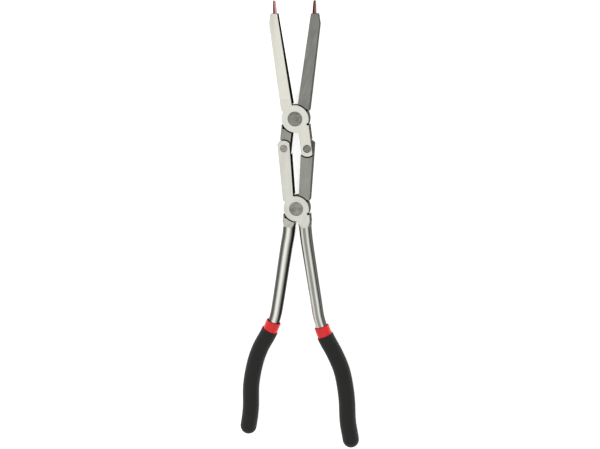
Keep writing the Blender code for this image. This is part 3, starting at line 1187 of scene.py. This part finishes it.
@dataclass
class Lever(Forging):
    """A lever: link arm, half-lap hub, square bar and the round rod that it is turned into.

    Attributes:
        rod: Finish of the round rod.
        route: The rod's curve, in the member's own frame.
        rod_end: Where the rod ends along it.
        rod_swell: How much wider the rod is at the bar than in the grip.
        taper_length: Where along the route that extra has gone.
        cone_r: Radius at which the cone between bar and rod starts.
        turn_start: Where it starts along the route.
        turn_end: Where it ends.
        root_sink: How far the rod's root lies below the bar's faces.
        root_from: How far before the cone's end the root starts.
        root_to: How far before it the root ends.
        overlap: How far rod and cone run into each other.
        slant: How far a face of the cone has to turn from its axis to count as one.
        ring_step: Space between the rod's rings.
    """

    rod: Material = field(kw_only=True)
    route: Route = field(kw_only=True)
    rod_end: float = field(kw_only=True)
    hub_r: float = 9.9 * MM
    heel: Point = (10.3 * MM, 6.5 * MM)
    heel_bearing: float = 150.0
    outer_x: float = 14.15 * MM
    inner_x: float = 4.6 * MM
    crotch_x: float = 2.15 * MM
    bar_inner: Point = (1.2 * MM, -9.8 * MM)
    bar_outer: Point = (10.2 * MM, -4.4 * MM)
    bar_top_y: float = -8.5 * MM
    bar_end: tuple[Point, Point] = ((1.85 * MM, -17.0 * MM), (11.0 * MM, -17.0 * MM))
    rod_r: float = 4.5 * MM
    rod_swell: float = 0.45 * MM
    taper_length: float = 85.0 * MM
    cone_r: float = 6.7 * MM
    turn_start: float = 2.3 * MM
    turn_end: float = 7.0 * MM
    root_sink: float = 0.25 * MM
    root_from: float = 4.5 * MM
    root_to: float = 2.2 * MM
    overlap: float = 0.1 * MM
    slant: float = 0.2
    ring_step: float = 1.6 * MM

    def outline(self) -> list[Point]:
        """The forging from the front, anticlockwise: arm up to the left, bar down to the right.

        Returns:
            The outline's points.
        """
        crotch = meet((-self.inner_x, ARM[1]), (-self.crotch_x, self.hub_r), HUB, self.hub_r)
        top_in = meet(crotch, (-self.inner_x, ARM[1] + self.tongue_r), ARM, self.tongue_r)
        heel = (-self.heel[0], self.heel[1])
        top_out = meet(heel, (-self.outer_x, ARM[1] + self.tongue_r), ARM, self.tongue_r)
        outline = arc(ARM, self.tongue_r, bearing(ARM, top_in), bearing(ARM, top_out))
        outline += [heel]
        outline += arc(HUB, self.hub_r, self.heel_bearing, 360.0 + bearing(HUB, self.bar_inner))
        outline += [*self.bar_end, self.bar_outer]
        outline += arc(HUB, self.hub_r, self.corner_bearing, bearing(HUB, crotch))
        return outline

    def rims(self) -> list[tuple[Point, float]]:
        """The pivot's and the link's holes."""
        return [(HUB, LOWER_RIVET.head_r + 2 * LOOSE), (ARM, LEFT_RIVET.head_r + LOOSE)]

    def turning_tool(self) -> Mesh:
        """The ring that turns the square bar down to a cone and then to the rod.

        Returns:
            A closed mesh.
        """
        throat = self.rod_radius(self.turn_end) - self.overlap
        far, wide = 5 * self.turn_end, 5 * self.rod_r
        profile = [(self.cone_r, self.turn_start), (throat, self.turn_end), (throat, far)]
        profile += [(wide, far), (wide, self.turn_start)]
        mesh = lathe("turning_tool", profile, closed=True)
        along = self.route.heading(0.0).to_3d()
        turn = along.to_track_quat("Z", "X").to_matrix().to_4x4()
        mesh.transform(shift(self.route.at(0.0)) @ turn)
        return mesh

    def rod_radius(self, distance: float) -> float:
        """The rod's radius at a distance along the route: it thins a little towards the grip."""
        return self.rod_r + self.rod_swell * max(0.0, 1.0 - distance / self.taper_length)

    def rod_stock(self) -> Mesh:
        """The round rod, which starts inside the turned end of the bar.

        Returns:
            A closed mesh.
        """
        root = HALF - self.root_sink
        rings = [(self.turn_end - self.root_from, root), (self.turn_end - self.root_to, root)]
        for i in range(int((self.rod_end - self.turn_end) / self.ring_step)):
            distance = self.turn_end - self.overlap + i * self.ring_step
            rings.append((distance, self.rod_radius(distance)))
        mesh = sweep("rod_stock", self.route, rings, sides=72)
        mesh.materials.append(self.rod)
        return mesh

    def make(self) -> Object:
        """Forges and turns the lever.

        Returns:
            The finished piece.
        """
        blank = self.blank(self.layer.value + "_lever")
        cuts = [self.turning_tool(), self.lap("hub_lap", HUB, self.hub_r + self.shoulder_gap)]
        cuts += [self.lap("arm_lap", ARM, self.tongue_shoulder_r)]
        cuts += self.notches("notch", HUB, self.hub_r)
        blank.work(Carve.CUT, cuts)
        blank.work(Carve.JOIN, [self.rod_stock()])
        blank.work(Carve.CUT, [LOWER_RIVET.seat(HUB, SNUG), LEFT_RIVET.seat(ARM, SNUG)])
        blank.ease_edges(self.edge, self.is_rim)
        piece = blank.finish(self.layer)
        turned_y = LOWER.y + self.route.at(self.turn_start).y
        bar_y = LOWER.y + self.bar_top_y

        def choose(polygon: MeshPolygon, had: Material) -> Material:
            """The steel of one face.

            Args:
                polygon: The face.
                had: The finish that its tool has left.

            Returns:
                Its finish.
            """
            if had == self.rod:
                return self.rod
            if polygon.center.y < turned_y and polygon.normal.y < -self.slant:
                return self.rod if polygon.normal.x > self.slant else self.leg_face
            return self.steel_of(polygon, had, polygon.center.y < bar_y)

        self.dress(piece, choose)
        return piece


# ---- grips --------------------------------------------------------------------------
@dataclass
class DippedGrip:
    """A rod's grip: a red base layer with its collar showing, under a black cover.

    Attributes:
        layer: The lever's layer.
        route: The handle's curve.
        mouths: Where base and cover start along it.
        base: Finish of the base.
        cover: Finish of the cover.
    """

    layer: Layer
    route: Route
    mouths: tuple[float, float]
    base: Material
    cover: Material
    base_bore: float = 4.7 * MM
    base_r: float = 5.8 * MM
    cover_bore: float = 6.0 * MM
    cover_r: float = 6.53 * MM
    base_flare: float = 0.55 * MM
    base_lip: float = 0.28 * MM
    cover_lip: float = 0.22 * MM
    funnel_depth: float = 4.0 * MM
    spacing: float = 1.8 * MM

    @property
    def end_centre(self) -> float:
        """Distance of the round end's centre along the route."""
        return self.route.length - self.cover_r

    def dome(self, radius: float) -> list[Ring]:
        """Rings of a round end, out to its pole.

        Args:
            radius: The round end's radius.

        Returns:
            The rings in order.
        """
        turns = [math.radians(angle) for angle in range(8, 90, 8)]
        rings = [(self.end_centre + radius * math.sin(t), radius * math.cos(t)) for t in turns]
        return rings + [(self.end_centre + radius, 0.0)]

    def run(self, start: float, radius: float) -> list[Ring]:
        """Evenly spaced rings from a start to the round end's centre."""
        count = math.ceil((self.end_centre - start) / self.spacing)
        return [(start + (self.end_centre - start) * i / count, radius) for i in range(count + 1)]

    def skin(self, mouth: float, bore: float, outer: float, flare: float, lip: float) -> list[Ring]:
        """Rings of one layer, from the bore's pole round the mouth to the outer pole.

        Args:
            mouth: Where the layer starts.
            bore: Its inner radius.
            outer: Its outer radius.
            flare: How much wider the bore is at the mouth.
            lip: Radius of the rounded lip.

        Returns:
            The rings in order.
        """
        depth = self.funnel_depth
        inner = list(reversed(self.run(mouth + depth, bore) + self.dome(bore)))
        funnel = [(mouth + depth * (1 - s), bore + flare * s ** 2) for s in (0.25, 0.5, 0.75, 0.92)]
        edge = bore + flare
        bead = [(mouth + 0.3 * lip, edge + 0.3 * lip), (mouth, edge + 0.9 * lip)]
        bead += [(mouth, outer - 1.1 * lip), (mouth + 0.3 * lip, outer - 0.35 * lip)]
        bead += [(mouth + lip, outer)]
        return inner + funnel + bead + self.run(mouth + 2.5 * lip, outer) + self.dome(outer)

    def make(self) -> dict[str, Object]:
        """Dips both layers.

        Returns:
            The pieces by node name.
        """
        start, cover_start = self.mouths
        base = self.skin(start, self.base_bore, self.base_r, self.base_flare, self.base_lip)
        cover = self.skin(cover_start, self.cover_bore, self.cover_r, 0.0, self.cover_lip)
        made = {}
        for label, rings, vinyl in (("grip_base", base, self.base), ("grip_cover", cover, self.cover)):
            name = f"{self.layer.value}_{label}"
            mesh = sweep(name, self.route, rings)
            mesh.materials.append(vinyl)
            made[name] = Blank(name, mesh).finish(self.layer)
        return made


# ---- studio -------------------------------------------------------------------------
@dataclass(frozen=True)
class Studio:
    """A pale floor, a wide overhead panel, a dim room and the camera.

    Attributes:
        aim: The point looked at, from the lower pivot.
        lean: The camera's direction from there, per unit of height.
        height: The camera's height over the tool's middle plane.
        roll: The camera's roll, in radians.
        frame_width: What the picture's width covers at the aim.
        floor_half: Half the floor's width.
        floor_glow: How much light the floor, a light table, gives by itself.
        panel_place: The overhead panel's centre.
        panel_size: Its width and length.
        panel_radiance: Its brightness.
        room_tones: The room's brightness from the tool's left to its right.
    """

    aim: tuple[float, float, float] = (1.99 * MM, -13.12 * MM, 0.0)
    lean: tuple[float, float] = (0.18, 0.22)
    height: float = 0.92
    roll: float = math.radians(-0.728)
    frame_width: float = 0.462
    floor_half: float = 6.0
    floor_glow: float = 0.65
    panel_place: tuple[float, float, float] = (-0.1, -0.1, 1.6)
    panel_size: tuple[float, float] = (2.2, 2.6)
    panel_radiance: float = 0.22
    room_tones: tuple[Tone, ...] = ((-1.0, 0.78), (0.34, 0.80), (0.66, 0.85),
                                    (0.88, 0.50), (1.0, 0.04))

    def camera(self) -> None:
        """Places the camera."""
        back = Vector((self.lean[0], self.lean[1], 1.0))
        distance = self.height * back.length
        back.normalize()
        right = Vector((0.0, 1.0, 0.0)).cross(back).normalized()
        up = back.cross(right)
        cosine, sine = math.cos(self.roll), math.sin(self.roll)
        rolled = Matrix((cosine * right + sine * up, cosine * up - sine * right, back))
        place = Matrix.Translation(LOWER + Vector(self.aim) + back * distance)
        data = bpy.data.cameras.new("camera")
        data.sensor_width = 36.0
        data.lens = data.sensor_width * distance / self.frame_width
        camera = put("camera", data)
        camera.matrix_world = place @ rolled.transposed().to_4x4()
        bpy.context.scene.camera = camera

    def floor(self) -> None:
        """Lays the floor."""
        half = self.floor_half
        mesh = slab("floor", [(-half, -half), (half, -half), (half, half), (-half, half)], -0.02, 0.0)
        recipe = Recipe("pale_floor", (0.93, 0.93, 0.925, 1.0), 0.0)
        dial(recipe.shader, Roughness=0.75, Specular_IOR_Level=0.2)
        dial(recipe.shader, Emission_Color=(1.0, 1.0, 1.0, 1.0), Emission_Strength=self.floor_glow)
        clouds = recipe.grain(0.0, (5.0, 5.0, 5.0), 2.0)
        recipe.colour_by(recipe.tint(clouds, (0.92, 0.92, 0.915, 1.0), (0.94, 0.94, 0.935, 1.0)))
        mesh.materials.append(recipe.material)
        floor = put("floor", mesh)

    def panel(self) -> None:
        """Hangs the soft overhead panel, which faces the tool."""
        data = bpy.data.lights.new("overhead_panel", "AREA")
        data.shape = "RECTANGLE"
        data.size, data.size_y = self.panel_size
        data.energy = self.panel_radiance * math.pi * self.panel_size[0] * self.panel_size[1]
        light = put("overhead_panel", data)
        place = Vector(self.panel_place)
        light.location = place
        light.rotation_mode = "QUATERNION"
        light.rotation_quaternion = (-place).to_track_quat("-Z", "Y")

    def room(self) -> None:
        """A soft white room that dims towards its two sides."""
        world = bpy.data.worlds.new("room")
        world.use_nodes = True
        tree = world.node_tree
        place = tree.nodes.new("ShaderNodeTexCoord")
        parts = tree.nodes.new("ShaderNodeSeparateXYZ")
        tree.links.new(place.outputs["Generated"], parts.inputs["Vector"])
        tones = ramp_of(tree, parts.outputs["X"], self.room_tones)
        tree.links.new(tones, tree.nodes["Background"].inputs["Color"])
        bpy.context.scene.world = world

    def make(self) -> None:
        """Sets the studio up."""
        self.camera()
        self.floor()
        self.panel()
        self.room()
        bpy.context.scene.view_settings.view_transform = "Standard"


# ---- the tool -----------------------------------------------------------------------
FRONT_ROUTE = ((5.6, -8.0), (6.6, -20.4), (8.15, -33.2), (13.9, -73.2), (16.2, -87.7), (21.0, -102.0),
               (28.7, -116.8), (34.3, -131.4), (37.5, -151.2), (38.4, -171.2), (40.6, -185.5),
               (41.4, -193.2))
REAR_ROUTE = ((5.6, -8.0), (7.0, -20.8), (9.3, -33.5), (15.9, -73.8), (18.9, -88.5), (23.9, -100.5),
              (31.1, -113.8), (35.9, -127.5), (39.2, -145.0), (39.9, -164.0), (41.9, -178.5),
              (43.7, -186.0))
MOUTHS = {Layer.FRONT: (87.0 * MM, 94.8 * MM), Layer.REAR: (84.8 * MM, 92.6 * MM)}


@dataclass
class Pliers:
    """The whole tool, and which body each piece rides on."""

    pieces: dict[str, Object] = field(default_factory=dict)

    def finishes(self) -> dict[str, Material]:
        """Mixes every finish once.

        Returns:
            The materials by the pieces' and faces' names.
        """
        # Painted reflections for the two rods: highlight bands and dark flanks, set by which way each
        # side faces.
        left_painted_reflections = ((-0.97, 0.12), (-0.66, 0.09), (-0.43, 0.20), (-0.25, 0.5), (-0.06, 1.0),
                        (0.1, 1.0), (0.32, 0.70), (0.5, 0.36), (0.68, 0.06), (0.86, 0.01), (1.0, 0.03))
        right_painted_reflections = ((-0.97, 0.05), (-0.84, 0.08), (-0.70, 0.92), (-0.36, 1.0), (-0.22, 0.34),
                         (0.08, 0.32), (0.25, 0.70), (0.40, 1.0), (0.54, 0.64), (0.68, 0.32),
                         (0.86, 0.09), (1.0, 0.05))
        bright = (0.87, 0.865, 0.795)
        film = (0.45, 0.06, 0.08)
        jaw_steel = GroundSteel("ground_steel_jaw", (0.80, 0.785, 0.70), math.radians(98.0))
        arm_steel = GroundSteel("ground_steel_lever", (0.70, 0.695, 0.625), math.radians(94.0),
                                contrast=0.1)
        # The rear members' faces are darker copies of the same ground steel: painted shade.
        rear_jaw = GroundSteel("plain_steel_jaw", (0.25, 0.252, 0.232), math.radians(72.0),
                               contrast=0.3)
        rear_arm = GroundSteel("plain_steel_lever", (0.32, 0.32, 0.29), math.radians(88.0),
                               contrast=0.2)
        rear_bar = GroundSteel("plain_steel_bar", (0.52, 0.51, 0.45), math.radians(84.0))
        leg_steel = GroundSteel("ground_steel_leg", (0.755, 0.745, 0.67), math.radians(92.0))
        # satin is the front faces' lit steel, plain the rear faces' copy darkened with painted shade.
        satin, plain = arm_steel.material(), rear_arm.material()
        return {
            "front_jaw_face": jaw_steel.material(),
            "front_leg_face": leg_steel.material(),
            **dict.fromkeys(("front_arm_face", "front_bar_face"), satin),
            "rear_jaw_face": rear_jaw.material(),
            **dict.fromkeys(("rear_leg_face", "rear_arm_face"), plain),
            "rear_bar_face": rear_bar.material(),
            # Both wall steels are dark with painted shade, the inner one darkest for the gaps and
            # notches.
            "outer_wall": ForgedEdge("forged_edge_steel", (0.15, 0.148, 0.135), 0.3).material(),
            "inner_wall": ForgedEdge("oiled_edge_steel", (0.035, 0.034, 0.03), 0.09).material(),
            "front_rod": PolishedSteel("polished_steel_front", bright, right_painted_reflections).material(),
            "rear_rod": PolishedSteel("polished_steel_rear", bright, left_painted_reflections).material(),
            "dark_rivet": RivetSteel("ground_rivet_steel_dark", (0.255, 0.25, 0.222)).material(),
            "middle_rivet": RivetSteel("ground_rivet_steel_middle", (0.30, 0.295, 0.262)).material(),
            "light_rivet": RivetSteel("ground_rivet_steel_light", (0.37, 0.365, 0.325)).material(),
            # The two tips share one lacquer; the rear tip shows less of the painted highlight, a
            # shaded copy.
            "front_lacquer": RedLacquer("red_tip_lacquer_front", film, highlight_share=1.0).material(),
            "rear_lacquer": RedLacquer("red_tip_lacquer_rear", film, highlight_share=0.42).material(),
            "red": DippedVinyl("red_vinyl", (0.78, 0.011, 0.014), 0.38, 0.45, 0.03 * MM).material(),
            "black": DippedVinyl("black_vinyl", (0.0125, 0.0125, 0.0115), 0.62, 0.27,
                                 0.05 * MM).material(),
        }

    def make(self) -> None:
        """Makes every piece."""
        paint = self.finishes()
        for layer in Layer:
            side = layer.value
            is_front = layer is Layer.FRONT
            walls = (paint["outer_wall"], paint["inner_wall"])
            jaw = Jaw(layer, paint[side + "_jaw_face"], paint[side + "_leg_face"], *walls)
            self.pieces[side + "_jaw"] = jaw.make()
            lacquer = paint[side + "_lacquer"]
            self.pieces[side + "_jaw_tip"] = jaw.tip.make(side + "_jaw_tip", layer, lacquer)
            route = Route(FRONT_ROUTE if is_front else REAR_ROUTE)
            grip = DippedGrip(layer, route, MOUTHS[layer], paint["red"], paint["black"])
            lever = Lever(layer, paint[side + "_arm_face"], paint[side + "_bar_face"], *walls,
                          rod=paint[side + "_rod"], route=route, rod_end=grip.end_centre)
            self.pieces[side + "_lever"] = lever.make()
            self.pieces.update(grip.make())
        for rivet, centre, layer, steel in ((UPPER_RIVET, BOSS, Layer.REAR, "dark_rivet"),
                                            (LOWER_RIVET, HUB, Layer.FRONT, "middle_rivet"),
                                            (LEFT_RIVET, ARM, Layer.FRONT, "light_rivet"),
                                            (RIGHT_RIVET, ARM, Layer.REAR, "dark_rivet")):
            self.pieces[rivet.name] = rivet.make(centre, layer, paint[steel])

    def hand_over(self) -> None:
        """Lets each piece ride on its body, in place of its plain solid."""
        record = frame["record"]
        bodies = record["behaviour"]["bodies"]
        body_of = {node: body for body, nodes in bodies.items() for node in nodes}
        for node, piece in self.pieces.items():
            piece.name = node + "_fine"
            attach(piece, body_of[node])
            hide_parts(node)
            faces = len(piece.data.polygons)
            LOG.info("%s rides on %s with %d faces", piece.name, body_of[node], faces)


def main() -> None:
    """Builds the studio and the tool in order."""
    logging.basicConfig(level=logging.INFO, format="%(name)s: %(message)s")
    Studio().make()
    pliers = Pliers()
    pliers.make()
    pliers.hand_over()


if __name__ == "__main__":
    main()
